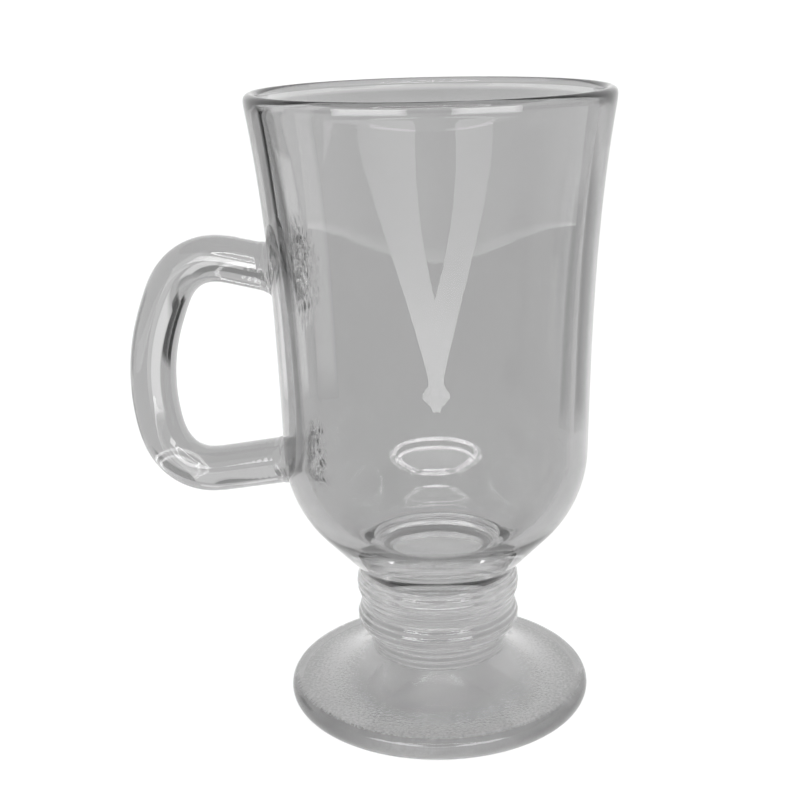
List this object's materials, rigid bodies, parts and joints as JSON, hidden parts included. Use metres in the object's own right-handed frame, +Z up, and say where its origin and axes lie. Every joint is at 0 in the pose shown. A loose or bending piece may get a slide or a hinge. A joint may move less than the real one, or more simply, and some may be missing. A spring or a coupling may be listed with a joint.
{
  "type": "footed glass mug",
  "caption": "Clear footed glass mug: flared thick-walled bowl on a beaded stem and round foot, with a D-shaped rod handle; holds a hot drink.",
  "frame": {"origin": "centre of the foot's flat underside, on the axis of the bowl", "axes": "+Z up along the axis of the bowl, -X from the axis towards the handle, +Y to the right of someone facing the handle's side from -X"},
  "size_m": [0.1083, 0.076, 0.135],
  "materials": {
    "clear_glass": "clear, fire-polished, faintly grey"
  },
  "bodies": {
    "root": {"foot": "clear_glass", "stem": "clear_glass", "bowl": "clear_glass", "handle": "clear_glass"}
  },
  "joints": []
}
